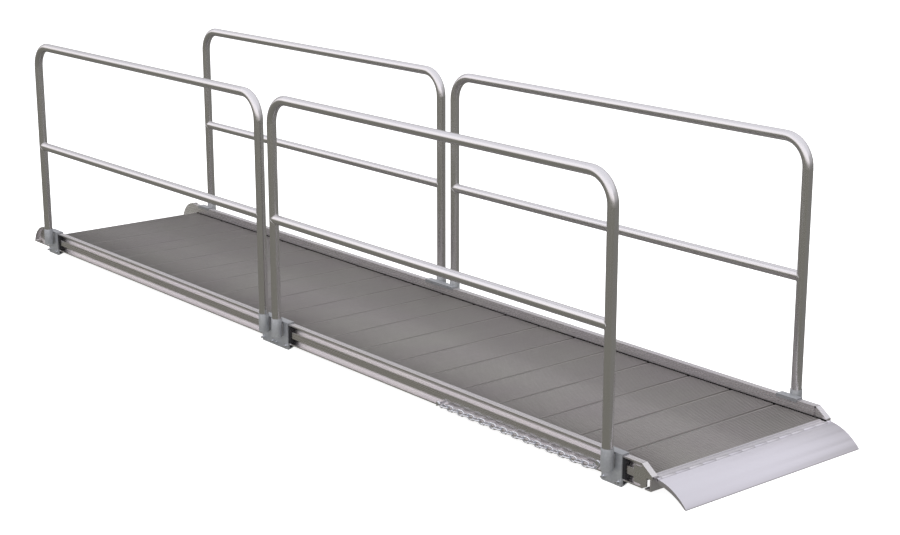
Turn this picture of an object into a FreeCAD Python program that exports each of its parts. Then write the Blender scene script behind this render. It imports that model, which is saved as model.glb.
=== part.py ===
"""Portable wheelchair ramp with drop-in handrails, as a parametric FreeCAD document.

Frame: millimetres, +Z up, +X down the ramp towards the transition plate. The side at -Y
carries the safety chain. The origin is on the ground, under the middle of the ramp.
Each sub-part is one document object: its Label is the node name, and its sizes are bound
to the aliases of the sheet "Dims".
"""
import FreeCAD
import Part
import math
import os
import re
import Sketcher

DRIVING_DIMENSIONS = [
    # deck and planks
    ("clear_half_width", 457.2, "half the clear width between the curbs, 36 in over all"),
    ("deck_top", 77.2, "height of the tread above the ground"),
    ("deck_lower_x", 2262.0, "lower end of the last plank"),
    ("plank_pitch", 228.6, "one wide plank, 9 in"),
    ("filler_pitch", 152.4, "the narrow plank, 6 in"),
    ("plank_gap", 1.6, "open seam between two planks"),
    ("plank_thick", 28.0, "height of the plank extrusion"),
    ("plank_end_gap", 8.0, "gap from a plank's end to the curb"),
    ("tread_skin", 3.2, "top wall of a plank"),
    ("plank_wall", 2.0, "webs and bottom wall of a plank"),
    ("lip_length", 47.0, "length of the upper end lip"),
    # side beams
    ("beam_bottom", 24.5, "underside of the side beams"),
    ("beam_top", 118.5, "top of the curb"),
    ("web_thick", 4.5, "web of the side beam"),
    ("flange_reach", 27.0, "flange width measured from the web's inner face"),
    ("top_flange_thick", 6.5, "curb flange"),
    ("low_flange_thick", 6.0, "lower flange"),
    ("rib_low", 54.5, "underside of the hollow rib"),
    ("rib_high", 85.0, "top of the hollow rib"),
    ("rib_reach", 21.8, "rib's face measured from the web's inner face"),
    ("rib_wall", 3.0, "wall of the hollow rib"),
    ("ledge_reach", 22.0, "ledge that carries the planks"),
    ("ledge_thick", 5.0, "thickness of that ledge"),
    ("nose_radius", 128.1, "rounded upper end of the curb"),
    ("nose_rise", 6.0, "height of that end above the curb"),
    ("nose_start_x", -2314.0, "where the rounded end begins"),
    ("bevel_start_x", 2235.0, "where the curb begins to slope at the lower end"),
    ("bevel_end_x", 2289.0, "lower end of the sloped curb"),
    ("bevel_end_z", 81.5, "height of the curb at the end of its slope"),
    ("web_joint_x", 2229.0, "open joint at the lower end of the beam, on its inner face"),
    ("web_joint", 7.0, "width of that joint"),
    ("web_joint_deep", 3.0, "depth of that joint"),
    ("web_cut_x", 2232.0, "end of the lower part of the side beam"),
    ("side_plate_x", 2198.0, "start of the end cap's side plate"),
    ("side_plate_low", 38.0, "lower edge of that plate above the lower flange"),
    ("side_plate_high", 101.5, "its upper edge below the curb flange"),
    ("end_seam", 1.4, "open joint between the curb and its sloped end"),
    ("slot_start_x", 2262.0, "end of the side plate, one edge of the hook slot"),
    ("slot_top", 68.5, "top of the hook slot"),
    # lower sill, hinge and transition plate
    ("sill_leg_x", 2278.0, "upright leg of the sill, the other edge of the hook slot"),
    ("sill_wall", 6.0, "wall of the sill's leg and foot"),
    ("sill_foot", 24.5, "reach of the sill's foot towards the beams"),
    ("sill_rib", 7.0, "raised strip at the edge of the sill"),
    ("sill_recess", 2.6, "depth of the recess behind that strip"),
    ("hinge_x", 2298.0, "hinge axis"),
    ("hinge_z", 69.7, "hinge axis"),
    ("knuckle_radius", 7.5, "outside of the hinge knuckles"),
    ("pin_radius", 4.0, "hinge pin"),
    ("pin_clearance", 0.05, "running clearance of the hinge pin"),
    ("knuckle_count", 13.0, "knuckles in the row, the odd ones on the sill"),
    ("knuckle_row", 898.0, "length of the row of knuckles"),
    ("knuckle_gap", 0.8, "axial clearance between knuckles"),
    ("plate_half_width", 470.0, "half the width of the transition plate"),
    ("plate_tip_x", 2439.0, "lower end of the ramp"),
    ("plate_start_x", 2307.0, "where the curved plate begins"),
    ("arc_x", 2280.0, "centre line of both arcs of the plate"),
    ("top_arc_radius", 210.0, "upper face of the plate"),
    ("top_arc_z", -134.5, "centre of the upper arc"),
    ("under_arc_radius", 233.0, "underside of the plate"),
    ("under_arc_z", -176.0, "centre of the lower arc"),
    # handrails
    ("post_y", 512.2, "distance of the posts from the middle of the ramp"),
    ("pair_centre_x", -57.0, "middle between the two handrails of a side"),
    ("pair_spacing", 102.4, "distance between their neighbouring posts"),
    ("rail_length", 2098.5, "distance between the two posts of a handrail"),
    ("tube_radius", 21.1, "all handrail tube, 1.66 in outside"),
    ("tube_wall", 3.2, "wall of the handrail tube"),
    ("bend_radius", 112.0, "centre line radius of the handrail's corners"),
    ("top_rail_z", 1127.4, "axis of the top rail"),
    ("mid_rail_z", 592.9, "axis of the middle rail"),
    # brackets
    ("bracket_half", 50.8, "half the length of a bracket, 4 in over all"),
    ("bracket_plate", 5.0, "plate of the bracket"),
    ("bracket_gap", 0.1, "play between bracket and beam"),
    ("bracket_lip", 14.0, "height of the lip inside the curb"),
    ("socket_radius", 23.8, "outside of the post socket"),
    ("socket_play", 0.4, "radial play of a post in its socket"),
    ("socket_low", 57.5, "bottom of the post socket"),
    ("socket_high", 139.5, "top of the post socket"),
    ("socket_floor", 4.0, "floor of the post socket"),
    ("bolt_offset", 37.0, "clamp bolt, measured from the post along the ramp"),
    ("bolt_z", 17.5, "height of the clamp bolts"),
    ("bolt_radius", 4.0, "clamp bolt"),
    ("bolt_tail", 11.0, "clamp bolt beyond its nut"),
    ("jaw_slope", 9.6, "rise of the clamp jaw from its outer to its inner edge"),
    ("jaw_catch", 9.0, "height of the jaw's lip inside the beam"),
    ("hex_flats", 13.0, "across the flats of head and nut"),
    ("hex_height", 5.3, "height of head and nut"),
    ("spacer_reach", 64.0, "spacer's reach past the post where nothing is beside it"),
    ("spacer_play", 0.3, "play of the spacer in the beam's channel"),
    # safety chain
    ("wire_radius", 3.2, "wire of the chain links"),
    ("link_inside", 32.6, "inside length of a link"),
    ("link_slack", 0.4, "slack between one link and the next"),
    ("link_bend", 10.4, "centre line radius of a link's ends"),
    ("link_count", 27.0, "links between the hook and the end link"),
    ("chain_start_x", 1143.4, "first link"),
    ("chain_y", -495.4, "line of the chain"),
    ("chain_z", 37.0, "line of the chain"),
    ("end_link_inside", 32.6, "inside length of the end link"),
    ("end_link_rise", 45.0, "slope of the end link in degrees"),
    ("stud_radius", 4.0, "weld studs that hold the chain"),
    ("stud_head", 8.0, "radius of a stud's head"),
    ("hook_bend", 9.5, "centre line radius of the hook's bends"),
]

doc = FreeCAD.newDocument("WheelchairRamp")
dims = doc.addObject("Spreadsheet::Sheet", "Dims")
for row, (alias, value, note) in enumerate(DRIVING_DIMENSIONS, start=1):
    dims.set(f"A{row}", note)
    dims.set(f"B{row}", str(value))
    dims.setAlias(f"B{row}", alias)
doc.recompute()

ALIASES = {alias for alias, value, note in DRIVING_DIMENSIONS}
SIDES = {"left": -1, "right": 1}
ALONG_Y = FreeCAD.Rotation(FreeCAD.Vector(1, 0, 0), -90)
ALONG_X = FreeCAD.Rotation(FreeCAD.Vector(0, 1, 0), 90)
UPRIGHT = FreeCAD.Rotation()
HALF_TURN = FreeCAD.Rotation(FreeCAD.Vector(0, 0, 1), 180)
nodes = []


# ---------------------------------------------------------------- helpers

def bound(text):
    """An expression in which every alias points at its cell of the sheet."""
    return re.sub(r"[a-z_]+", lambda m: f"Dims.{m[0]}" if m[0] in ALIASES else m[0], str(text))


def value(text):
    """The number that an expression over the sheet stands for now."""
    result = dims.evalExpression(bound(text))
    return float(getattr(result, "Value", result))


def place(item, x=0, y=0, z=0, rotation=UPRIGHT):
    """Put an object at a bound position."""
    item.Placement = FreeCAD.Placement(FreeCAD.Vector(value(x), value(y), value(z)), rotation)
    for axis, text in (("x", x), ("y", y), ("z", z)):
        item.setExpression(f".Placement.Base.{axis}", bound(text))
    return item


def primitive(kind, name, sizes, x=0, y=0, z=0, rotation=UPRIGHT):
    """One Part primitive with bound sizes and position."""
    item = doc.addObject(f"Part::{kind}", name)
    for prop, text in sizes.items():
        item.setExpression(prop, bound(text))
    return place(item, x, y, z, rotation)


def block(name, x, y, z):
    """A box between bound limits; x, y and z are (low, high) pairs."""
    sizes = {}
    for prop, (low, high) in (("Length", x), ("Width", y), ("Height", z)):
        sizes[prop] = f"({high}) - ({low})"
    return primitive("Box", name, sizes, x[0], y[0], z[0])


def rod(name, radius, length, x, y, z, rotation=UPRIGHT):
    """A cylinder that starts at x, y, z and runs along its turned Z axis."""
    return primitive("Cylinder", name, {"Radius": radius, "Height": length}, x, y, z, rotation)


def fuse(name, items):
    """One solid from several that touch or overlap."""
    item = doc.addObject("Part::MultiFuse", name)
    item.Shapes = items
    item.Refine = True
    return item


def cut(name, base, tool):
    """The base without the tool."""
    item = doc.addObject("Part::Cut", name)
    item.Base = base
    item.Tool = tool
    return item


def common(name, first, second):
    """What two objects share."""
    item = doc.addObject("Part::Common", name)
    item.Base = first
    item.Tool = second
    return item


def draw_loop(sketch, corners):
    """A closed polyline in a sketch, each corner held by two bound distances."""
    first = sketch.GeometryCount
    count = len(corners)
    points = [FreeCAD.Vector(value(u), value(v), 0) for u, v in corners]
    for i in range(count):
        sketch.addGeometry(Part.LineSegment(points[i], points[(i + 1) % count]), False)
    for i in range(count):
        edge = first + i
        following = first + (i + 1) % count
        sketch.addConstraint(Sketcher.Constraint("Coincident", edge, 2, following, 1))
        for kind, text, number in (("DistanceX", corners[i][0], points[i].x),
                                   ("DistanceY", corners[i][1], points[i].y)):
            index = sketch.addConstraint(Sketcher.Constraint(kind, -1, 1, edge, 1, number))
            sketch.setExpression(f"Constraints[{index}]", bound(text))


def extrusion(name, plane, loops, length, x=0, y=0, z=0, rotation=UPRIGHT):
    """A PartDesign body: a profile on an origin plane, padded along that plane's normal.

    The first loop is the outline, and any further loops are its hollows.
    """
    body = doc.addObject("PartDesign::Body", name)
    support = [f for f in body.Origin.OriginFeatures if f.Role == plane][0]
    sketch = body.newObject("Sketcher::SketchObject", name + "_profile")
    sketch.AttachmentSupport = [(support, "")]
    sketch.MapMode = "FlatFace"
    for corners in loops:
        draw_loop(sketch, corners)
    pad = body.newObject("PartDesign::Pad", name + "_pad")
    pad.Profile = sketch
    pad.setExpression("Length", bound(length))
    body.Tip = pad
    sketch.Visibility = False
    return place(body, x, y, z, rotation)


def rectangle(low_u, high_u, low_v, high_v):
    """The four corners of a bound rectangle."""
    return [(low_u, low_v), (high_u, low_v), (high_u, high_v), (low_u, high_v)]


def node(item, label):
    """Keep an object as a sub-part under its node name."""
    item.Label = label
    nodes.append(item)
    return item


def group(label, items):
    """Several separate solids of one kind under one node name."""
    item = doc.addObject("Part::Compound", label)
    item.Links = items
    return node(item, label)


# ---------------------------------------------------------------- deck

DECK_UPPER_X = "deck_lower_x - 19 * plank_pitch - filler_pitch"
PLANK_HALF = "(clear_half_width - plank_end_gap)"
LEDGE_TOP = "(deck_top - plank_thick)"
CELLS = 4


def plank(label, start, pitch):
    """A hollow tread plank across the ramp; start is its upper edge."""
    width = f"({pitch} - plank_gap)"
    step = f"(({width} - plank_wall) / {CELLS})"
    loops = [rectangle("0", width, "0", "plank_thick")]
    for i in range(CELLS):
        loops.append(rectangle(f"{i} * {step} + plank_wall", f"{i + 1} * {step}",
                               "plank_wall", "plank_thick - tread_skin"))
    body = extrusion(label, "XZ_Plane", loops, f"2 * {PLANK_HALF}",
                     f"{start} + plank_gap / 2", PLANK_HALF, LEDGE_TOP)
    return node(body, label)


def deck():
    """Two wide planks, the narrow one and seventeen wide planks, counted from the top."""
    pitches = ["plank_pitch"] * 2 + ["filler_pitch"] + ["plank_pitch"] * 17
    start = DECK_UPPER_X
    for number, pitch in enumerate(pitches, start=1):
        plank(f"deck_plank_{number:02d}", start, pitch)
        start = f"{start} + {pitch}"


def upper_lip():
    """The strip that ends the deck at the landing, with one groove along its edge."""
    outline = [("0", "0"), ("lip_length", "0"), ("lip_length", "plank_thick"), ("9", "plank_thick"),
               ("9", "plank_thick - 2"), ("6", "plank_thick - 2"), ("6", "plank_thick"),
               ("0", "plank_thick")]
    hollow = rectangle("plank_wall", "lip_length - plank_wall",
                       "plank_wall", "plank_thick - tread_skin - 1")
    body = extrusion("upper_end_lip", "XZ_Plane", [outline, hollow], f"2 * {PLANK_HALF}",
                     f"{DECK_UPPER_X} - lip_length", PLANK_HALF, LEDGE_TOP)
    return node(body, "upper_end_lip")


# ---------------------------------------------------------------- side beams

LOW_FLANGE_TOP = "(beam_bottom + low_flange_thick)"
TOP_FLANGE_LOW = "(beam_top - top_flange_thick)"


def reach(sign, distance):
    """The Y of a point that lies a distance outward of the web's inner face."""
    return f"{sign} * (clear_half_width + ({distance}))"


def span(sign, inner, outer):
    """The (low, high) Y pair between two distances from the web's inner face."""
    near, far = reach(sign, inner), reach(sign, outer)
    return (near, far) if sign > 0 else (far, near)


def side_beam(side, sign):
    """Extruded channel that opens outward: curb flange, hollow rib, lower flange, ledge."""
    corners = [("0", "beam_bottom"), ("flange_reach", "beam_bottom"),
               ("flange_reach", LOW_FLANGE_TOP), ("web_thick", LOW_FLANGE_TOP),
               ("web_thick", "rib_low"), ("rib_reach", "rib_low"),
               ("rib_reach", "rib_high"), ("web_thick", "rib_high"),
               ("web_thick", TOP_FLANGE_LOW), ("flange_reach", TOP_FLANGE_LOW),
               ("flange_reach", "beam_top"), ("0", "beam_top"),
               ("0", LEDGE_TOP), ("-ledge_reach", LEDGE_TOP),
               ("-ledge_reach", f"{LEDGE_TOP} - ledge_thick"), ("0", f"{LEDGE_TOP} - ledge_thick")]
    hollow = rectangle("web_thick", "rib_reach - rib_wall",
                       "rib_low + rib_wall", "rib_high - rib_wall")
    loops = [[(reach(sign, u), v) for u, v in loop] for loop in (corners, hollow)]
    name = f"beam_extrusion_{side}"
    profile = extrusion(name, "YZ_Plane", loops, "bevel_start_x - nose_start_x", "nose_start_x")
    end_cut = block(f"beam_end_cut_{side}", ("web_cut_x", "bevel_start_x + 1"),
                    span(sign, "-ledge_reach - 1", "flange_reach + 1"),
                    ("beam_bottom - 1", "slot_top"))
    joint = block(f"beam_joint_{side}", ("web_joint_x", "web_joint_x + web_joint"),
                  span(sign, "-1", "web_joint_deep"), (LEDGE_TOP, TOP_FLANGE_LOW))
    cuts = fuse(f"beam_cuts_{side}", [end_cut, joint])
    return node(cut(f"side_beam_cut_{side}", profile, cuts), f"side_beam_{side}")


def nose_cap(side, sign):
    """Rounded upper end of the curb: a web plate with a rim that follows the arc."""
    pieces = []
    for part, inner, low, radius in (("outer", "0", "beam_bottom", "nose_radius"),
                                     ("hollow", "web_thick", LOW_FLANGE_TOP,
                                      "nose_radius - top_flange_thick")):
        across = span(sign, inner, "flange_reach")
        box = block(f"nose_{part}_box_{side}", ("nose_start_x - nose_radius", "nose_start_x"),
                    across, (low, "beam_top + nose_rise"))
        disc = rod(f"nose_{part}_disc_{side}", radius, f"flange_reach - {inner}",
                   "nose_start_x", across[0], "beam_top + nose_rise - nose_radius", ALONG_Y)
        pieces.append(common(f"nose_{part}_{side}", box, disc))
    return node(cut(f"nose_cap_cut_{side}", *pieces), f"nose_cap_{side}")


def end_cap(side, sign):
    """Sloped lower end of the curb, with a side plate that stops at the hook slot."""
    seam = "bevel_start_x + end_seam"
    slope = [(seam, "slot_top"), ("bevel_end_x", "slot_top"),
             ("bevel_end_x", "bevel_end_z"), (seam, "beam_top")]
    step_x = "(web_cut_x + 0.3)"
    plate = [("side_plate_x", "side_plate_low"), (step_x, "side_plate_low"),
             (step_x, "beam_bottom"), (f"{step_x} + 8", "beam_bottom"),
             ("slot_start_x", "beam_bottom + 12"), ("slot_start_x", "slot_top + 25"),
             (f"{seam} + 3", f"{TOP_FLANGE_LOW} - 0.3"), (step_x, "side_plate_high"),
             ("side_plate_x", "side_plate_high")]
    block_y = span(sign, "0", "flange_reach")[1]
    plate_y = span(sign, "rib_reach + 0.5", "flange_reach")[1]
    solids = [extrusion(f"end_slope_{side}", "XZ_Plane", [slope], "flange_reach", 0, block_y),
              extrusion(f"end_plate_{side}", "XZ_Plane", [plate], "flange_reach - rib_reach - 0.5",
                        0, plate_y)]
    return node(fuse(f"end_cap_fuse_{side}", solids), f"curb_end_cap_{side}")


# ---------------------------------------------------------------- sill, hinge, transition plate

OUTER_HALF = "(clear_half_width + flange_reach)"
KNUCKLE_PITCH = "(knuckle_row / knuckle_count)"


def knuckles(owner, first, block_x, block_z):
    """Every second knuckle of the row, each with the block that carries it."""
    solids = []
    for i in range(first, int(value("knuckle_count")), 2):
        low = f"{i} * {KNUCKLE_PITCH} - knuckle_row / 2 + knuckle_gap / 2"
        length = f"{KNUCKLE_PITCH} - knuckle_gap"
        solids.append(rod(f"{owner}_knuckle_{i}", "knuckle_radius", length,
                          "hinge_x", low, "hinge_z", ALONG_Y))
        solids.append(block(f"{owner}_strap_{i}", block_x, (low, f"{low} + {length}"), block_z))
    return solids


def pin_hole(owner):
    """The bore of the hinge pin, through the whole row."""
    return rod(f"{owner}_pin_hole", "pin_radius + pin_clearance", f"2 * {OUTER_HALF}",
               "hinge_x", f"-{OUTER_HALF}", "hinge_z", ALONG_Y)


def lower_sill():
    """Hooked cross member under the lower end of the deck, with the fixed knuckles."""
    start = "deck_lower_x + plank_gap / 2"
    bar_end = "hinge_x - knuckle_radius - 1"
    floor = "deck_top - sill_recess"
    inner = (f"-{PLANK_HALF}", PLANK_HALF)
    outer = (f"-{OUTER_HALF}", OUTER_HALF)
    solids = [
        block("sill_bar", (start, bar_end), inner, ("slot_top", floor)),
        block("sill_strip", (start, f"{start} + sill_rib"), inner, ("slot_top", "deck_top")),
        block("sill_leg", ("sill_leg_x", "sill_leg_x + sill_wall"), outer,
              ("beam_bottom", "slot_top")),
        block("sill_foot", ("sill_leg_x - sill_foot", "sill_leg_x + sill_wall"), outer,
              ("beam_bottom", "beam_bottom + sill_wall")),
    ]
    solids += knuckles("sill", 0, (f"{bar_end} - 2", "hinge_x"), ("slot_top - 3", "hinge_z + 1"))
    return node(cut("sill_cut", fuse("sill_fuse", solids), pin_hole("sill")), "lower_sill")


def transition_plate():
    """Curved plate from deck height down to the ground, with the moving knuckles."""
    half = "plate_half_width"
    top = rod("plate_top_arc", "top_arc_radius", f"2 * {half}", "arc_x", f"-{half}",
              "top_arc_z", ALONG_Y)
    under = rod("plate_under_arc", "under_arc_radius", f"2 * {half}", "arc_x", f"-{half}",
                "under_arc_z", ALONG_Y)
    window = block("plate_window", ("plate_start_x", "plate_tip_x"), (f"-{half}", half),
                   ("0", "deck_top"))
    blade = common("plate_blade", cut("plate_arcs", top, under), window)
    strap_x = ("hinge_x", "plate_start_x + 3")
    strap_z = ("hinge_z - knuckle_radius", "hinge_z - 2")
    solids = [blade] + knuckles("plate", 1, strap_x, strap_z)
    row_end = "(knuckle_row / 2 + knuckle_gap / 2)"
    for name, low, high in (("left", f"-{half}", f"-{row_end}"), ("right", row_end, half)):
        solids.append(rod(f"plate_boss_{name}", "knuckle_radius", f"{high} - ({low})",
                          "hinge_x", low, "hinge_z", ALONG_Y))
        solids.append(block(f"plate_boss_strap_{name}", strap_x, (low, high), strap_z))
    return node(cut("plate_cut", fuse("plate_fuse", solids), pin_hole("plate")), "transition_plate")


def hinge_pin():
    """The rod through all the knuckles."""
    pin = rod("pin_rod", "pin_radius", "knuckle_row + 6", "hinge_x", "-knuckle_row / 2 - 3",
              "hinge_z", ALONG_Y)
    return node(pin, "hinge_pin")


# ---------------------------------------------------------------- handrails

RAISE_X = FreeCAD.Rotation(FreeCAD.Vector(1, 0, 0), 90)
RAISE_BACK = FreeCAD.Rotation(FreeCAD.Vector(0, 1, 0), -90).multiply(RAISE_X)
ENDS = {"upper": -1, "lower": 1}


def post_x(end, position):
    """X of a post: end tells the handrail, position which of its two posts."""
    near = f"pair_centre_x + {ENDS[end]} * pair_spacing / 2"
    if ENDS[end] == ENDS[position]:
        return f"({near} + {ENDS[end]} * rail_length)"
    return f"({near})"


def tube(name, length, x, y, z, rotation=UPRIGHT):
    """A straight piece of the handrail tube."""
    bar = rod(f"{name}_bar", "tube_radius", length, x, y, z, rotation)
    bore = rod(f"{name}_bore", "tube_radius - tube_wall", length, x, y, z, rotation)
    return cut(name, bar, bore)


def tube_bend(name, x, y, z, rotation):
    """A quarter bend of the handrail tube."""
    rings = []
    for part, radius in (("bar", "tube_radius"), ("bore", "tube_radius - tube_wall")):
        sizes = {"Radius1": "bend_radius", "Radius2": radius, "Angle3": "90"}
        rings.append(primitive("Torus", f"{name}_{part}", sizes, x, y, z, rotation))
    return cut(name, *rings)


def handrail(side, sign, end):
    """One drop-in handrail: a bent tube hoop and the middle rail between its posts."""
    key = f"{side}_{end}"
    first, last = post_x(end, "upper"), post_x(end, "lower")
    y = f"{sign} * post_y"
    foot = "(socket_low + socket_floor + 0.1)"
    bend_z = "(top_rail_z - bend_radius)"
    hoop = fuse(f"hoop_{key}", [
        tube(f"hoop_{key}_first_post", f"{bend_z} - {foot}", first, y, foot),
        tube_bend(f"hoop_{key}_first_bend", f"{first} + bend_radius", y, bend_z, RAISE_BACK),
        tube(f"hoop_{key}_rail", f"{last} - {first} - 2 * bend_radius",
             f"{first} + bend_radius", y, "top_rail_z", ALONG_X),
        tube_bend(f"hoop_{key}_last_bend", f"{last} - bend_radius", y, bend_z, RAISE_X),
        tube(f"hoop_{key}_last_post", f"{bend_z} - {foot}", last, y, foot),
    ])
    node(hoop, f"handrail_hoop_{key}")
    bar = tube(f"mid_{key}_tube", f"{last} - {first}", first, y, "mid_rail_z", ALONG_X)
    copes = []
    for i, x in enumerate((first, last)):
        copes.append(rod(f"mid_{key}_cope_{i}", "tube_radius", "4 * tube_radius", x, y,
                         "mid_rail_z - 2 * tube_radius"))
    node(cut(f"mid_{key}", bar, fuse(f"mid_{key}_copes", copes)), f"middle_rail_{key}")


# ---------------------------------------------------------------- brackets

# Brackets are drawn about their own post, with +Y towards the beam.
FLANGE_Y = "(post_y - clear_half_width - flange_reach)"
WEB_Y = "(post_y - clear_half_width - web_thick)"
CURB_Y = "(post_y - clear_half_width)"
PLATE_Y = f"({FLANGE_Y} - bracket_gap - bracket_plate)"
JAW_Y = f"({FLANGE_Y} + bracket_gap)"
JAW_LEG = "5"
LIP_THICK = "4"


def stand(item, side_sign, x):
    """Set a bracket piece at its post, turned to face its beam."""
    turn = UPRIGHT if side_sign < 0 else HALF_TURN
    return place(item, x, f"{side_sign} * post_y", 0, turn)


def bolt_holes(name, low_y, high_y):
    """Two clearance holes across a bracket piece."""
    holes = []
    for i, x in enumerate(("-bolt_offset", "bolt_offset")):
        holes.append(rod(f"{name}_hole_{i}", "bolt_radius + 0.5", f"{high_y} - ({low_y})",
                         x, low_y, "bolt_z", ALONG_Y))
    return holes


def bracket(key, sign, x):
    """Plate that hooks over the curb, with the welded socket of a post."""
    across = ("-bracket_half", "bracket_half")
    hook_low = "beam_top + bracket_gap"
    hook_top = f"{hook_low} + bracket_plate"
    lip_y = f"{CURB_Y} + bracket_gap"
    solids = [
        block(f"bracket_{key}_plate", across, (PLATE_Y, f"{PLATE_Y} + bracket_plate"),
              ("0", hook_top)),
        block(f"bracket_{key}_hook", across, (PLATE_Y, f"{lip_y} + {LIP_THICK}"),
              (hook_low, hook_top)),
        block(f"bracket_{key}_lip", across, (lip_y, f"{lip_y} + {LIP_THICK}"),
              (f"{hook_top} - bracket_lip", hook_top)),
        rod(f"bracket_{key}_socket", "socket_radius", "socket_high - socket_low",
            0, 0, "socket_low"),
    ]
    holes = bolt_holes(f"bracket_{key}", f"{PLATE_Y} - 1", f"{PLATE_Y} + bracket_plate + 1")
    holes.append(rod(f"bracket_{key}_bore", "tube_radius + socket_play",
                     "socket_high - socket_low", 0, 0, "socket_low + socket_floor"))
    item = cut(f"bracket_{key}_cut", fuse(f"bracket_{key}_fuse", solids),
               fuse(f"bracket_{key}_holes", holes))
    return node(stand(item, sign, x), f"post_bracket_{key}")


def spacer(key, sign, x, low_reach, high_reach):
    """Moulded block that fills the beam's channel behind a bracket."""
    face = f"{FLANGE_Y} + bracket_gap"
    deep = f"{WEB_Y} - spacer_play"
    rib_face = f"{CURB_Y} - rib_reach - spacer_play"
    corners = [(face, f"{LOW_FLANGE_TOP} + spacer_play"), (deep, f"{LOW_FLANGE_TOP} + spacer_play"),
               (deep, "rib_low - spacer_play"), (rib_face, "rib_low - spacer_play"),
               (rib_face, "rib_high + spacer_play"), (deep, "rib_high + spacer_play"),
               (deep, f"{TOP_FLANGE_LOW} - spacer_play"), (face, f"{TOP_FLANGE_LOW} - spacer_play")]
    start = f"{x} - {low_reach}" if sign < 0 else f"{x} + {high_reach}"
    body = extrusion(f"channel_spacer_{key}", "YZ_Plane", [corners], f"{low_reach} + {high_reach}")
    return node(stand(body, sign, start), f"channel_spacer_{key}")


def jaw(key, sign, x):
    """Clamp jaw that is drawn up under the beam by the two bolts."""
    leg = f"{JAW_Y} + {JAW_LEG}"
    catch = f"{CURB_Y} + 0.4"
    rise = "jaw_slope"
    corners = [(JAW_Y, "0.4"), (f"{leg} + 1", "0.4"), (f"{catch} + {JAW_LEG}", f"0.4 + {rise}"),
               (f"{catch} + {JAW_LEG}", "beam_bottom + jaw_catch"),
               (catch, "beam_bottom + jaw_catch"), (catch, f"5 + {rise} - 1.8"),
               (leg, "5"), (leg, "beam_bottom - 1"), (JAW_Y, "beam_bottom - 1")]
    bar = extrusion(f"jaw_{key}_bar", "YZ_Plane", [corners], "2 * bracket_half - 2",
                    "1 - bracket_half")
    holes = fuse(f"jaw_{key}_holes", bolt_holes(f"jaw_{key}", f"{JAW_Y} - 1", f"{leg} + 1"))
    return stand(cut(f"jaw_{key}_cut", bar, holes), sign, x)


def bolt_and_nut(key, sign, x, offset):
    """One clamp bolt with its head behind the jaw and its nut outside the plate."""
    hexagon = {"Circumradius": "hex_flats / sqrt(3)", "Height": "hex_height"}
    head_y = f"{JAW_Y} + {JAW_LEG}"
    nut_y = f"{PLATE_Y} - hex_height"
    end_y = f"{nut_y} - bolt_tail"
    shank = rod(f"bolt_{key}_shank", "bolt_radius", f"{head_y} - ({end_y}) + hex_height",
                offset, end_y, "bolt_z", ALONG_Y)
    head = primitive("Prism", f"bolt_{key}_head", hexagon, offset, head_y, "bolt_z", ALONG_Y)
    blank = primitive("Prism", f"nut_{key}_blank", hexagon, offset, nut_y, "bolt_z", ALONG_Y)
    bore = rod(f"nut_{key}_bore", "bolt_radius + 0.1", "hex_height", offset, nut_y, "bolt_z", ALONG_Y)
    bolt = stand(fuse(f"bolt_{key}", [shank, head]), sign, x)
    nut = stand(cut(f"nut_{key}", blank, bore), sign, x)
    return bolt, nut


def brackets():
    """All eight brackets; the pair in the middle of each side stands edge to edge."""
    jaws, bolts, nuts = [], [], []
    for side, sign in SIDES.items():
        for end in ENDS:
            for position in ENDS:
                key = f"{side}_{end}_{position}"
                x = post_x(end, position)
                outer = ENDS[end] == ENDS[position]
                low = "spacer_reach" if position == "upper" and outer else "bracket_half"
                high = "bracket_half" if position == "lower" and end == "upper" else "spacer_reach"
                bracket(key, sign, x)
                spacer(key, sign, x, low, high)
                jaws.append(jaw(key, sign, x))
                for number, offset in enumerate(("-bolt_offset", "bolt_offset"), start=1):
                    bolt, nut = bolt_and_nut(f"{key}_{number}", sign, x, offset)
                    bolts.append(bolt)
                    nuts.append(nut)
    group("clamp_jaws", jaws)
    group("clamp_bolts", bolts)
    group("clamp_nuts", nuts)


# ---------------------------------------------------------------- safety chain

LINK_PITCH = "(link_inside - link_slack)"
HALF_STRAIGHT = "({inside} / 2 + wire_radius - link_bend)"


def link(name, inside, x, z, facing, slope=0.0):
    """One welded link about its centre, flat to the side of the ramp when it is facing."""
    half = HALF_STRAIGHT.format(inside=inside)
    ring = {"Radius1": "link_bend", "Radius2": "wire_radius", "Angle3": "180"}
    quarter = FreeCAD.Rotation(FreeCAD.Vector(0, 0, 1), -90)
    opposite = FreeCAD.Rotation(FreeCAD.Vector(0, 0, 1), 90)
    solids = [
        primitive("Torus", f"{name}_end_1", ring, half, 0, 0, quarter),
        primitive("Torus", f"{name}_end_2", ring, f"-{half}", 0, 0, opposite),
        rod(f"{name}_side_1", "wire_radius", f"2 * {half}", f"-{half}", "link_bend", 0, ALONG_X),
        rod(f"{name}_side_2", "wire_radius", f"2 * {half}", f"-{half}", "-link_bend", 0, ALONG_X),
    ]
    lean = FreeCAD.Rotation(FreeCAD.Vector(0, 1, 0), -slope)
    turn = lean.multiply(RAISE_X) if facing else lean
    return place(fuse(name, solids), x, "chain_y", z, turn)


def stud(name, root_y, x, z):
    """A headed weld stud that stands out of the side beam towards -Y."""
    tip = "chain_y - wire_radius - 0.7"
    shank = rod(f"{name}_shank", "stud_radius", f"{root_y} - ({tip})", x, tip, z, ALONG_Y)
    head = rod(f"{name}_head", "stud_head", "3", x, f"{tip} - 3", z, ALONG_Y)
    return fuse(name, [shank, head])


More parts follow.
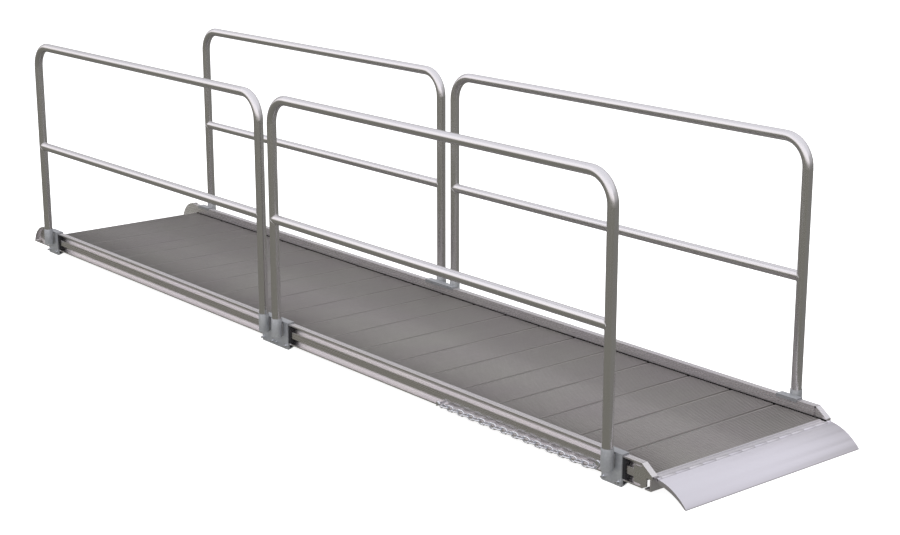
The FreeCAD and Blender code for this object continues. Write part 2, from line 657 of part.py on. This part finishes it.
def safety_chain():
    """Welded chain along the beam's lower edge, held by two studs and an S-hook."""
    links = []
    count = int(value("link_count"))
    for i in range(count):
        x = f"chain_start_x + ({i} + 0.5) * {LINK_PITCH}"
        links.append(link(f"chain_link_{i}", "link_inside", x, "chain_z", i % 2 == 1))
    slope = value("end_link_rise")
    grip = f"chain_start_x + (link_count - 0.5) * {LINK_PITCH} + link_inside / 2 - wire_radius - 0.2"
    along = "(end_link_inside / 2 + wire_radius)"
    links.append(link("chain_end_link", "end_link_inside",
                      f"{grip} + {along} * cos(end_link_rise * 1deg)",
                      f"chain_z + {along} * sin(end_link_rise * 1deg)", True, slope))
    group("safety_chain_links", links)

    hold = "(wire_radius + end_link_inside - stud_radius - 0.2)"
    hook_x = "(chain_start_x + wire_radius - 3 * hook_bend)"
    studs = [
        stud("stud_lower", "-(clear_half_width + rib_reach)",
             f"{grip} + {hold} * cos(end_link_rise * 1deg)",
             f"chain_z + {hold} * sin(end_link_rise * 1deg)"),
        stud("stud_hook", "-(clear_half_width + web_thick)", hook_x,
             "chain_z + hook_bend - wire_radius - stud_radius - 0.2"),
    ]
    group("chain_studs", studs)

    ring = {"Radius1": "hook_bend", "Radius2": "wire_radius", "Angle3": "180"}
    lower_half = FreeCAD.Rotation(FreeCAD.Vector(0, 1, 0), 180).multiply(RAISE_X)
    solids = [
        primitive("Torus", "hook_bend_over", ring, hook_x, "chain_y", "chain_z", RAISE_X),
        primitive("Torus", "hook_bend_under", ring, f"{hook_x} + 2 * hook_bend", "chain_y",
                  "chain_z", lower_half),
        rod("hook_tail", "wire_radius", "hook_bend", f"{hook_x} - hook_bend", "chain_y",
            "chain_z - hook_bend"),
        rod("hook_tip", "wire_radius", "hook_bend", f"{hook_x} + 3 * hook_bend", "chain_y",
            "chain_z"),
    ]
    node(fuse("s_hook_fuse", solids), "chain_s_hook")


# ---------------------------------------------------------------- build and write

deck()
upper_lip()
for side, sign in SIDES.items():
    side_beam(side, sign)
    nose_cap(side, sign)
    end_cap(side, sign)
lower_sill()
transition_plate()
hinge_pin()
for side, sign in SIDES.items():
    for end in ENDS:
        handrail(side, sign, end)
brackets()
safety_chain()
doc.recompute()

for item in doc.Objects:
    if "Invalid" in item.State or "Error" in item.State:
        raise RuntimeError(f"{item.Name} did not compute: {item.State}")

os.makedirs("parts", exist_ok=True)
for item in nodes:
    shape = item.Shape
    if shape.isNull() or not shape.isValid() or not shape.Solids:
        raise RuntimeError(f"{item.Label} has no valid solid")
    shape.exportStep(f"parts/{item.Label}.step")
    box = shape.BoundBox
    print(f"{item.Label:32s} solids {len(shape.Solids):3d}  volume {shape.Volume / 1000:9.1f} cm3  "
          f"x {box.XMin:8.1f} {box.XMax:8.1f}  y {box.YMin:7.1f} {box.YMax:7.1f}  "
          f"z {box.ZMin:7.1f} {box.ZMax:7.1f}")
print(len(nodes), "nodes")
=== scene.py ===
"""Studio scene of a portable wheelchair ramp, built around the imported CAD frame."""

import math

import bmesh
import bpy
from mathutils import Matrix, Vector


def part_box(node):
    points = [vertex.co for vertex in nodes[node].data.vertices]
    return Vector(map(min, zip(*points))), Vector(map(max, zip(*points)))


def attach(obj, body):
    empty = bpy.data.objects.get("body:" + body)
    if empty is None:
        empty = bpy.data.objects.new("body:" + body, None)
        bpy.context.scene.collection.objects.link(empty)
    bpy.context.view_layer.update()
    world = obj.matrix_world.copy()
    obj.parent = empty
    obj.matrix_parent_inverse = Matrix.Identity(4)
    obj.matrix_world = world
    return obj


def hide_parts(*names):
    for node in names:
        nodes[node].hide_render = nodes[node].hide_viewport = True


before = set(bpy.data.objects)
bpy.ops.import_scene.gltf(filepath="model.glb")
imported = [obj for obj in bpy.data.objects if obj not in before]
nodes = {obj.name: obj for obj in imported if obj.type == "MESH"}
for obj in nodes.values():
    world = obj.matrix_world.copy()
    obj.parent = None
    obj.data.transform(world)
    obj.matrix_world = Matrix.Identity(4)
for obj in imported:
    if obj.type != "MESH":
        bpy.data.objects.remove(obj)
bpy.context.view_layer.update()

MM = 0.001
SIDES = {"left": -1, "right": 1}
ENDS = ("upper", "lower")

# ---------------------------------------------------------------- stage, camera, light

CAMERA_PLACE = (6.2413, -4.6207, 2.3301)
CAMERA_TURN = (75.2535, 0.0164, 50.7507)
FOCAL_LENGTH = 69.78
SENSOR_WIDTH = 36.0
CLIP_END = 200.0
FLOOR_SIZE = 160
FLOOR_COLOUR = (0.50, 0.50, 0.50)
FLOOR_GLOW = 0.90


def add_camera():
    """Camera past the lower end and off the chain's side, above the handrails, looking back along it."""
    data = bpy.data.cameras.new("camera")
    data.lens = FOCAL_LENGTH
    data.sensor_width = SENSOR_WIDTH
    data.clip_end = CLIP_END
    camera = bpy.data.objects.new("camera", data)
    camera.location = CAMERA_PLACE
    camera.rotation_euler = [math.radians(angle) for angle in CAMERA_TURN]
    bpy.context.scene.collection.objects.link(camera)
    bpy.context.scene.camera = camera


def add_light(name, location, target, size, power, colour, glossy=True):
    """A soft rectangular lamp aimed at a point."""
    data = bpy.data.lights.new(name, "AREA")
    data.shape = "RECTANGLE"
    data.size, data.size_y = size
    data.energy = power
    data.color = colour
    lamp = bpy.data.objects.new(name, data)
    lamp.location = location
    aim = Vector(target) - Vector(location)
    lamp.rotation_euler = aim.to_track_quat("-Z", "Y").to_euler()
    lamp.visible_glossy = glossy
    bpy.context.scene.collection.objects.link(lamp)


# Room brightness by height, from straight down (0) over the horizon (0.5) to straight up (1).
FAR_WALL = ((0.0, (0.20, 0.195, 0.18)), (0.49, (0.24, 0.235, 0.22)), (0.53, (0.42, 0.41, 0.41)),
            (0.58, (0.54, 0.53, 0.54)), (0.69, (0.58, 0.57, 0.585)), (0.74, (0.84, 0.83, 0.88)),
            (0.80, (0.93, 0.92, 0.98)), (0.90, (0.95, 0.94, 1.0)), (1.0, (1.0, 1.0, 1.06)))
NEAR_WALL = ((0.0, (0.19, 0.185, 0.17)), (0.48, (0.225, 0.22, 0.19)), (0.52, (0.70, 0.67, 0.66)),
             (0.58, (1.22, 1.17, 1.18)), (0.72, (1.26, 1.23, 1.29)), (1.0, (1.0, 1.0, 1.06)))
# How far to the near side, as the Y of a direction, the far wall ends and the near wall is whole.
FAR_WALL_ENDS = 0.0
NEAR_WALL_WHOLE = -0.4


def add_world():
    """Room light: a bright ceiling, a bright near side, a dim far wall and a dark ground."""
    world = bpy.data.worlds.new("room")
    bpy.context.scene.world = world
    world.use_nodes = True
    tree = world.node_tree
    coord = tree.nodes.new("ShaderNodeTexCoord")
    split = tree.nodes.new("ShaderNodeSeparateXYZ")
    tree.links.new(coord.outputs["Generated"], split.inputs[0])

    height = tree.nodes.new("ShaderNodeMapRange")
    height.inputs["From Min"].default_value = -1.0
    tree.links.new(split.outputs["Z"], height.inputs["Value"])
    walls = []
    for stops in (FAR_WALL, NEAR_WALL):
        wall = tree.nodes.new("ShaderNodeValToRGB")
        elements = wall.color_ramp.elements
        while len(elements) < len(stops):
            elements.new(0.5)
        for element, (position, colour) in zip(elements, stops):
            element.position = position
            element.color = (*colour, 1.0)
        tree.links.new(height.outputs[0], wall.inputs[0])
        walls.append(wall.outputs[0])
    nearness = tree.nodes.new("ShaderNodeMapRange")
    nearness.interpolation_type = "SMOOTHSTEP"
    nearness.inputs["From Min"].default_value = FAR_WALL_ENDS
    nearness.inputs["From Max"].default_value = NEAR_WALL_WHOLE
    tree.links.new(split.outputs["Y"], nearness.inputs["Value"])
    mixed = tree.nodes.new("ShaderNodeMixRGB")
    for source, target in zip((nearness.outputs[0], *walls), mixed.inputs):
        tree.links.new(source, target)
    tree.links.new(mixed.outputs[0], tree.nodes["Background"].inputs["Color"])


def add_floor():
    """A wide pale floor at the height the ramp stands on."""
    bpy.ops.mesh.primitive_plane_add(size=FLOOR_SIZE, location=(0, 0, 0))
    floor = bpy.context.object
    floor.name = "floor"
    material = bpy.data.materials.new("pale_floor")
    material.use_nodes = True
    shader = material.node_tree.nodes["Principled BSDF"]
    shader.inputs["Base Color"].default_value = (*FLOOR_COLOUR, 1)
    shader.inputs["Roughness"].default_value = 0.9
    shader.inputs["Emission Color"].default_value = (1, 1, 1, 1)
    shader.inputs["Emission Strength"].default_value = FLOOR_GLOW
    floor.data.materials.append(material)
    floor.visible_glossy = False


scene = bpy.context.scene
scene.view_settings.view_transform = "Standard"
scene.view_settings.look = "None"
add_camera()
add_world()
add_floor()
add_light("overhead", location=(-0.3, -0.6, 4.6), target=(0, 0, 0), size=(7.0, 2.4), power=240,
          colour=(1, 1, 1), glossy=False)

# ---------------------------------------------------------------- materials

# Scale of the draw lines per axis: drawn along X, or along Y.
LINES_X = (2, 380, 380)
LINES_Y = (380, 2, 380)

# A drift is an axis, the tone at both its ends and where those ends are, in metres.
# Painted light on the tread: darker towards the upper end and lighter towards +Y.
TREAD_PAINTED_LIGHT = (("X", 0.66, 0.96, -2.2, 2.2), ("Y", 1.0, 1.42, -0.1, 0.42))
# Painted shade in the plank seams, strongest at the upper end and weaker down the ramp.
SEAM_DRIFT = ("X", 1.0, 0.42, -1.5, 2.2)
# Painted light on the transition plate, lighter towards +Y.
PLATE_PAINTED_LIGHT = ("Y", 0.95, 1.13, -0.45, 0.45)
# Painted shade on the plate's hinge knuckles, a little darker than the rest.
KNUCKLE_PAINTED_SHADE = ("X", 0.93, 1.0, 2.3056, 2.3072)
# Where the painted shade in the side beams' open joint begins and ends.
JOINT_SHADE_START = ("X", 0.0, 1.0, 2.2280, 2.2290)
JOINT_SHADE_END = ("X", 1.0, 0.0, 2.2360, 2.2370)
# Painted shade on the beams' inner faces below the tread top, from the deck's start on.
BELOW_TREAD_SHADE = ("Z", 1.0, 0.0, 0.0775, 0.0790)
DECK_START = ("X", 0.0, 1.0, -2.282, -2.280)

# Distance from the ramp's middle over which a side beam's inner faces end, in metres.
INNER_FACES_END = (0.4580, 0.4590)
INNER_METALLIC = 0.88
# Tone of the painted shade in the open joint.
JOINT_SHADE_TONE = 0.15
# Tone of the painted shade below the tread.
BELOW_TREAD_SHADE_TONE = 0.06

# Painted shade on a plank, at its seam and at both ends by the curbs, as shares of its width along the
# ramp and of its length across it.
SEAM_SHADE = (0.055, 0.085)
NEAR_END_SHADE = (0.013, 0.018)
FAR_END_SHADE = (0.982, 0.987)
# Tone of the painted shade at the plank ends.
END_SHADE_TONE = 0.05


class Finish:
    """A procedural material in the making, with short ways to add its nodes."""

    def __init__(self, name, metallic):
        self.material = bpy.data.materials.new(name)
        self.material.use_nodes = True
        self.tree = self.material.node_tree
        self.shader = self.tree.nodes["Principled BSDF"]
        self.shader.inputs["Metallic"].default_value = metallic
        self.place = self.node("TexCoord").outputs["Object"]

    def node(self, kind, **values):
        made = self.tree.nodes.new("ShaderNode" + kind)
        for key, value in values.items():
            made.inputs[key.replace("_", " ")].default_value = value
        return made

    def link(self, source, target):
        self.tree.links.new(source, target)

    def stretched(self, scale):
        """The object's coordinates, scaled per axis."""
        mapping = self.node("Mapping", Scale=scale)
        self.link(self.place, mapping.inputs[0])
        return mapping.outputs[0]

    def noise(self, vector, scale, detail=3.0):
        made = self.node("TexNoise", Scale=scale, Detail=detail)
        self.link(vector, made.inputs["Vector"])
        return made.outputs[0]

    def spread(self, source, low, high, start=0.3, end=0.7):
        """Turn a pattern into a factor between low and high."""
        made = self.node("MapRange", From_Min=start, From_Max=end, To_Min=low, To_Max=high)
        self.link(source, made.inputs["Value"])
        return made.outputs[0]

    def drift(self, axis, low, high, start, end):
        """A factor that changes slowly along one axis of the ramp."""
        split = self.node("SeparateXYZ")
        self.link(self.place, split.inputs[0])
        return self.spread(split.outputs[axis], low, high, start, end)

    def times(self, first, second):
        made = self.node("Math")
        made.operation = "MULTIPLY"
        self.link(first, made.inputs[0])
        self.link(second, made.inputs[1])
        return made.outputs[0]

    def colour(self, base, tone, tint=None, amount=None):
        """Base colour times a tone, drifting to a second tint where amount is high."""
        if tint:
            mixed = self.node("MixRGB", Color1=(*base, 1.0), Color2=(*tint, 1.0))
            self.link(amount, mixed.inputs[0])
        scaled = self.node("VectorMath")
        scaled.operation = "SCALE"
        if tint:
            self.link(mixed.outputs[0], scaled.inputs[0])
        else:
            scaled.inputs[0].default_value = base
        self.link(tone, scaled.inputs["Scale"])
        self.link(scaled.outputs[0], self.shader.inputs["Base Color"])

    def finish(self, rough, height, relief, depth=0.0004):
        self.link(rough, self.shader.inputs["Roughness"])
        bump = self.node("Bump", Strength=relief, Distance=depth)
        self.link(height, bump.inputs["Height"])
        self.link(bump.outputs[0], self.shader.inputs["Normal"])
        return self.material


def drawn_metal(name, base, tint, rough, stretch, streak=0.06, patchy=0.04, relief=0.02, haze=0.18,
                drifts=(), duller_inside_painted_shade=False):
    """Mill-finish aluminium: fine draw lines one way, broad soft patches of a second tint.

    Flagged metal is less metallic, so duller, on the faces towards the deck, and carries painted
    shade in the open joint near its lower end and painted shade below the tread.
    """
    made = Finish(name, 1.0)
    lines = made.noise(made.stretched(stretch), 1.0)
    patches = made.noise(made.place, 3.0, 4.0)
    tone = made.times(made.spread(lines, 1 - streak, 1 + streak),
                      made.spread(patches, 1 - patchy, 1 + patchy))
    for drift in drifts:
        tone = made.times(tone, made.drift(*drift))
    # Inner faces less metallic; painted shade in the open joint and below the tread.
    if duller_inside_painted_shade:
        split = made.node("SeparateXYZ")
        made.link(made.place, split.inputs[0])
        across = made.node("Math")
        across.operation = "ABSOLUTE"
        made.link(split.outputs["Y"], across.inputs[0])
        inside = made.spread(across.outputs[0], 1.0, 0.0, *INNER_FACES_END)
        made.link(made.spread(inside, 1.0, INNER_METALLIC, 0.0, 1.0), made.shader.inputs["Metallic"])
        joint = made.times(made.drift(*JOINT_SHADE_START), made.drift(*JOINT_SHADE_END))
        tone = made.times(tone, made.spread(made.times(joint, inside), 1.0, JOINT_SHADE_TONE, 0.0, 1.0))
        # Painted shade below the tread on the inner faces.
        below = made.times(made.drift(*BELOW_TREAD_SHADE), inside)
        below = made.times(below, made.drift(*DECK_START))
        tone = made.times(tone, made.spread(below, 1.0, BELOW_TREAD_SHADE_TONE, 0.0, 1.0))
    made.colour(base, tone, tint, made.spread(patches, 0.0, 1.0))
    return made.finish(made.spread(lines, rough * (1 - haze), rough * (1 + haze)), lines, relief)


def tread_metal(name, base, tint, rough):
    """Ribbed tread: drawn metal with painted light, brighter down the ramp and towards +Y, and painted
    shade at each plank's edges.
    """
    made = Finish(name, 0.5)
    lines = made.noise(made.stretched(LINES_Y), 1.0)
    patches = made.noise(made.place, 3.0, 4.0)
    grime = made.noise(made.place, 60.0, 4.0)
    share = made.node("SeparateXYZ")
    made.link(made.node("TexCoord").outputs["Generated"], share.inputs[0])
    # Painted shade in the seam recess at the plank's stepped edge.
    seam = made.times(made.spread(share.outputs["X"], 1.0, 0.0, *SEAM_SHADE), made.drift(*SEAM_DRIFT))
    tone = made.spread(lines, 0.95, 1.05)
    for factor in (made.spread(seam, 1.0, 0.0, 0.0, 1.0),
                   made.spread(patches, 0.95, 1.05),
                   made.spread(grime, 0.97, 1.03),
                   # Painted light: lighter down the ramp and towards +Y.
                   *(made.drift(*drift) for drift in TREAD_PAINTED_LIGHT),
                   # Painted shade at both plank ends, where they meet the curbs.
                   made.spread(share.outputs["Y"], 1.0, END_SHADE_TONE, *FAR_END_SHADE),
                   made.spread(share.outputs["Y"], END_SHADE_TONE, 1.0, *NEAR_END_SHADE)):
        tone = made.times(tone, factor)
    made.colour(base, tone, tint, made.spread(patches, 0.0, 1.0))
    return made.finish(made.spread(lines, rough * 0.85, rough * 1.2), lines, 0.02)


def tube_metal(name, base, tint, rough):
    """Satin tube: draw lines follow the uprights below the bend and the rail above it."""
    made = Finish(name, 1.0)
    split = made.node("SeparateXYZ")
    made.link(made.place, split.inputs[0])
    high = made.spread(split.outputs["Z"], 0.0, 1.0, 1.05, 1.10)
    choice = made.node("MixRGB")
    made.link(high, choice.inputs[0])
    made.link(made.stretched((420, 420, 1.5)), choice.inputs[1])
    made.link(made.stretched((1.5, 420, 420)), choice.inputs[2])
    lines = made.noise(choice.outputs[0], 1.0, 2.0)
    patches = made.noise(made.place, 2.2, 2.0)
    tone = made.times(made.spread(lines, 0.97, 1.03), made.spread(patches, 0.98, 1.02))
    made.colour(base, tone, tint, made.spread(patches, 0.0, 1.0))
    return made.finish(made.spread(lines, rough * 0.95, rough * 1.08), lines, 0.01)


def galvanised_metal(name, base, tint, rough):
    """Zinc-dipped steel with its crystal spangle."""
    made = Finish(name, 0.6)
    cells = made.node("TexVoronoi", Scale=140.0)
    made.link(made.place, cells.inputs["Vector"])
    grey = made.node("SeparateXYZ")
    made.link(cells.outputs["Color"], grey.inputs[0])
    patches = made.noise(made.place, 26.0, 5.0)
    tone = made.times(made.spread(grey.outputs[0], 0.93, 1.07, 0.0, 1.0),
                      made.spread(patches, 0.88, 1.12))
    made.colour(base, tone, tint, made.spread(patches, 0.0, 1.0))
    return made.finish(made.spread(grey.outputs[1], rough * 0.85, rough * 1.15, 0.0, 1.0),
                       patches, 0.05)


def zinc_metal(name, base, rough):
    """Bright zinc plating with a faint mottle."""
    made = Finish(name, 1.0)
    patches = made.noise(made.place, 190.0, 4.0)
    made.colour(base, made.spread(patches, 0.86, 1.1))
    return made.finish(made.spread(patches, rough * 0.7, rough * 1.4), patches, 0.05)


def moulded_plastic(name, base, rough):
    """Black plastic with a fine moulded grain."""
    made = Finish(name, 0.0)
    grain = made.noise(made.place, 900.0, 2.0)
    patches = made.noise(made.place, 30.0, 3.0)
    made.colour(base, made.times(made.spread(grain, 0.85, 1.15), made.spread(patches, 0.8, 1.3)))
    return made.finish(made.spread(patches, rough * 0.9, rough * 1.15), grain, 0.12)


def weld_metal(name, base, rough):
    """Weld bead: brighter crests and dull troughs."""
    made = Finish(name, 1.0)
    crests = made.noise(made.place, 420.0, 3.0)
    made.colour(base, made.spread(crests, 0.8, 1.12))
    return made.finish(made.spread(crests, rough * 0.8, rough * 1.3), crests, 0.1)


tread = tread_metal("tread_aluminium", (0.250, 0.233, 0.228), (0.240, 0.232, 0.216), 0.42)
# Beam and caps: less metallic inner faces, painted shade in the open joint and below the tread.
beam = drawn_metal("beam_aluminium", (0.74, 0.715, 0.735), (0.725, 0.705, 0.70), 0.27, LINES_X,
                   streak=0.03, patchy=0.02, duller_inside_painted_shade=True)
cap = drawn_metal("cap_aluminium", (0.72, 0.70, 0.71), (0.70, 0.69, 0.67), 0.28, LINES_X,
                  streak=0.03, patchy=0.03, duller_inside_painted_shade=True)
# Plate: painted light towards +Y and painted shade on its knuckles.
plate = drawn_metal("plate_aluminium", (0.72, 0.705, 0.74), (0.71, 0.695, 0.73), 0.38, LINES_Y,
                    streak=0.006, patchy=0.010, relief=0.0, haze=0.03,
                    drifts=(PLATE_PAINTED_LIGHT, KNUCKLE_PAINTED_SHADE))
sill = drawn_metal("sill_aluminium", (0.71, 0.695, 0.72), (0.70, 0.685, 0.70), 0.36, LINES_Y,
                   streak=0.01, patchy=0.01, relief=0.0, haze=0.05)
tube = tube_metal("tube_aluminium", (0.72, 0.71, 0.72), (0.70, 0.69, 0.69), 0.20)
galvanised = galvanised_metal("galvanised_steel", (0.35, 0.365, 0.385), (0.33, 0.34, 0.345), 0.42)
zinc = zinc_metal("bright_zinc", (0.80, 0.815, 0.85), 0.10)
black = moulded_plastic("black_plastic", (0.010, 0.010, 0.012), 0.5)
bead = weld_metal("weld_bead", (0.66, 0.65, 0.64), 0.35)


def wear(item, material):
    item.data.materials.clear()
    item.data.materials.append(material)


FINISH = {
    "deck_plank": tread,
    "upper_end_lip": tread,
    "side_beam": beam,
    "nose_cap": cap,
    "curb_end_cap": cap,
    "lower_sill": sill,
    "hinge_pin": zinc,
    "transition_plate": plate,
    "handrail_hoop": tube,
    "middle_rail": tube,
    "post_bracket": galvanised,
    "channel_spacer": black,
    "clamp_jaws": galvanised,
    "clamp_bolts": zinc,
    "clamp_nuts": zinc,
    "safety_chain_links": zinc,
    "chain_s_hook": zinc,
    "chain_studs": zinc,
}
# Width of the broken edges, in millimetres.
SOFT_EDGES = {"side_beam": 0.5, "nose_cap": 0.6, "curb_end_cap": 0.5, "lower_sill": 0.4,
              "transition_plate": 0.5, "post_bracket": 0.6, "clamp_jaws": 0.5,
              "channel_spacer": 0.8}


def soften(item, width):
    """Break the sharp edges, as on a real extrusion or sheared plate."""
    weld = item.modifiers.new("weld", "WELD")
    weld.merge_threshold = 0.00002
    edge = item.modifiers.new("edge", "BEVEL")
    edge.width = width * MM
    edge.segments = 2
    edge.limit_method = "ANGLE"
    edge.angle_limit = math.radians(35)
    edge.harden_normals = True


for name, item in nodes.items():
    kind = next(k for k in FINISH if name.startswith(k))
    wear(item, FINISH[kind])
    if kind in SOFT_EDGES:
        soften(item, SOFT_EDGES[kind])

# ---------------------------------------------------------------- ribbed treads

RIB_PITCH = 11.43 * MM
RIB_WIDTH = 5.2 * MM
RIB_HEIGHT = 1.3 * MM
RIB_SLOPE = 0.5 * MM
SKIN = 3.2 * MM
WALL = 2.0 * MM
SEAM_STEP = 11.0 * MM
SEAM_DEPTH = 4.5 * MM
PLANK_CELLS = 4
LIP_CELLS = 1
LIP_STRIP = 13 * MM


def box_of(name):
    """The low and high corner of a node."""
    low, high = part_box(name)
    return Vector(low), Vector(high)


def extruded(name, loops, low_y, high_y):
    """A mesh swept along Y from closed (x, z) loops, the first the outline, the rest hollows."""
    curve = bpy.data.curves.new(name, "CURVE")
    curve.dimensions = "2D"
    curve.fill_mode = "BOTH"
    curve.extrude = (high_y - low_y) / 2
    for loop in loops:
        spline = curve.splines.new("POLY")
        spline.points.add(len(loop) - 1)
        for point, (x, z) in zip(spline.points, loop):
            point.co = (x, z, 0.0, 1.0)
        spline.use_cyclic_u = True
    shape = bpy.data.objects.new(name + "_shape", curve)
    bpy.context.scene.collection.objects.link(shape)
    bpy.context.view_layer.update()
    mesh = bpy.data.meshes.new_from_object(
        shape.evaluated_get(bpy.context.evaluated_depsgraph_get()))
    bpy.data.objects.remove(shape)
    middle = (high_y + low_y) / 2
    mesh.transform(Matrix(((1, 0, 0, 0), (0, 0, -1, middle), (0, 1, 0, 0), (0, 0, 0, 1))))
    piece = bpy.data.objects.new(name, mesh)
    bpy.context.scene.collection.objects.link(piece)
    bm = bmesh.new()
    bm.from_mesh(mesh)
    bmesh.ops.remove_doubles(bm, verts=bm.verts, dist=0.00001)
    bmesh.ops.recalc_face_normals(bm, faces=bm.faces)
    bm.to_mesh(mesh)
    bm.free()
    return piece


def ribbed_top(start, end, top, strip):
    """Points along a ribbed tread surface, from a plank's stepped edge to its square one.

    A strip is the raised edge that the landing end has before its step.
    """
    groove = top - RIB_HEIGHT
    points = [(start, top), (start + strip, top)] if strip else []
    first = start + strip
    floor = top - SEAM_DEPTH
    points += [(first, floor), (first + SEAM_STEP, floor), (first + SEAM_STEP, groove)]
    first += SEAM_STEP
    count = max(1, round((end - first) / RIB_PITCH))
    pitch = (end - first) / count
    for i in range(count):
        last = first + (i + 1) * pitch
        points += [(last - RIB_WIDTH, groove), (last - RIB_WIDTH + RIB_SLOPE, top), (last, top)]
        if i < count - 1:
            points.append((last, groove))
    return points


def ribbed_tread(node, cells, strip=0.0):
    """The visible form of a plank: hollow, with ribs across the ramp on its top."""
    low, high = box_of(node)
    outline = [(high.x, low.z), (low.x, low.z)] + ribbed_top(low.x, high.x, high.z, strip)
    loops = [outline]
    step = (high.x - low.x - WALL) / cells
    bottom, ceiling = low.z + WALL, high.z - SEAM_DEPTH - SKIN / 2
    for i in range(cells):
        left, right = low.x + i * step + WALL, low.x + (i + 1) * step
        loops.append([(left, bottom), (right, bottom), (right, ceiling), (left, ceiling)])
    piece = extruded(node.replace("deck_plank", "tread_plank").replace("upper_end", "upper_tread"),
                     loops, low.y, high.y)
    wear(piece, tread)
    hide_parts(node)
    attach(piece, "ramp")


for name in sorted(nodes):
    if name.startswith("deck_plank"):
        ribbed_tread(name, PLANK_CELLS)
ribbed_tread("upper_end_lip", LIP_CELLS, strip=LIP_STRIP)

# ---------------------------------------------------------------- weld beads

BEAD_SIDES = 8
SADDLE_POINTS = 48
BEAD_LIFT = 0.6 * MM
RAIL_BEAD = 1.7 * MM
RAIL_RIPPLE = 0.10
SOCKET_BEAD = 2.6 * MM
SOCKET_RIPPLE = 0.12
SOCKET_BEAD_HEIGHTS = range(58, 116, 2)
SOCKET_BEAD_SHIFTS = (-11.0 * MM, 11.0 * MM)
# From the socket's outermost line in to the outer face of the plate it is welded to.
SOCKET_DEPTH = 46.7 * MM


def bead_along(name, path, radius, ripple, body, closed):
    """A weld bead as a rippled tube along a path."""
    rings = []
    bm = bmesh.new()
    count = len(path)
    for i, point in enumerate(path):
        before = path[(i - 1) % count] if closed or i else point
        after = path[(i + 1) % count] if closed or i < count - 1 else point
        ahead = (after - before).normalized()
        side = ahead.orthogonal().normalized()
        turn = ahead.cross(side)
        size = radius * (1 + ripple * math.sin(i * math.pi / 2))
        rings.append([bm.verts.new(point + size * (side * math.cos(a) + turn * math.sin(a)))
                      for a in (2 * math.pi * k / BEAD_SIDES for k in range(BEAD_SIDES))])
    pairs = [(i, (i + 1) % count) for i in range(count if closed else count - 1)]
    for first, second in pairs:
        shift = min(range(BEAD_SIDES),
                    key=lambda s: (rings[first][0].co - rings[second][s].co).length)
        for k in range(BEAD_SIDES):
            beside = (k + 1) % BEAD_SIDES
            bm.faces.new((rings[first][k], rings[first][beside],
                          rings[second][(beside + shift) % BEAD_SIDES],
                          rings[second][(k + shift) % BEAD_SIDES]))
    if not closed:
        bm.faces.new(rings[0])
        bm.faces.new(reversed(rings[-1]))
    bmesh.ops.recalc_face_normals(bm, faces=bm.faces)
    mesh = bpy.data.meshes.new(name)
    bm.to_mesh(mesh)
    bm.free()
    mesh.shade_smooth()
    piece = bpy.data.objects.new(name, mesh)
    bpy.context.scene.collection.objects.link(piece)
    wear(piece, bead)
    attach(piece, body)


def saddle(post_x, centre, facing, radius):
    """The line where the middle rail meets a post of the same radius."""
    points = []
    for i in range(SADDLE_POINTS):
        angle = 2 * math.pi * i / SADDLE_POINTS
        across, up = radius * math.cos(angle), radius * math.sin(angle)
        points.append(Vector((post_x + facing * (abs(up) + BEAD_LIFT), centre.y + across,
                              centre.z + up)))
    return points


for side in SIDES:
    for end in ENDS:
        key = f"{side}_{end}"
        low, high = box_of(f"middle_rail_{key}")
        radius = (high.z - low.z) / 2
        for place, x, facing in (("upper", low.x, 1), ("lower", high.x, -1)):
            bead_along(f"rail_weld_{key}_{place}", saddle(x, (low + high) / 2, facing, radius),
                       RAIL_BEAD, RAIL_RIPPLE, f"handrail_{key}", True)
        for position in ENDS:
            low, high = box_of(f"post_bracket_{key}_{position}")
            outward = SIDES[side]
            face = (low.y if outward < 0 else high.y) - outward * SOCKET_DEPTH
            middle = (low.x + high.x) / 2
            for number, shift in enumerate(SOCKET_BEAD_SHIFTS, start=1):
                path = [Vector((middle + shift, face + outward * BEAD_LIFT, z * MM))
                        for z in SOCKET_BEAD_HEIGHTS]
                bead_along(f"socket_weld_{key}_{position}_{number}", path, SOCKET_BEAD,
                           SOCKET_RIPPLE, "ramp", False)
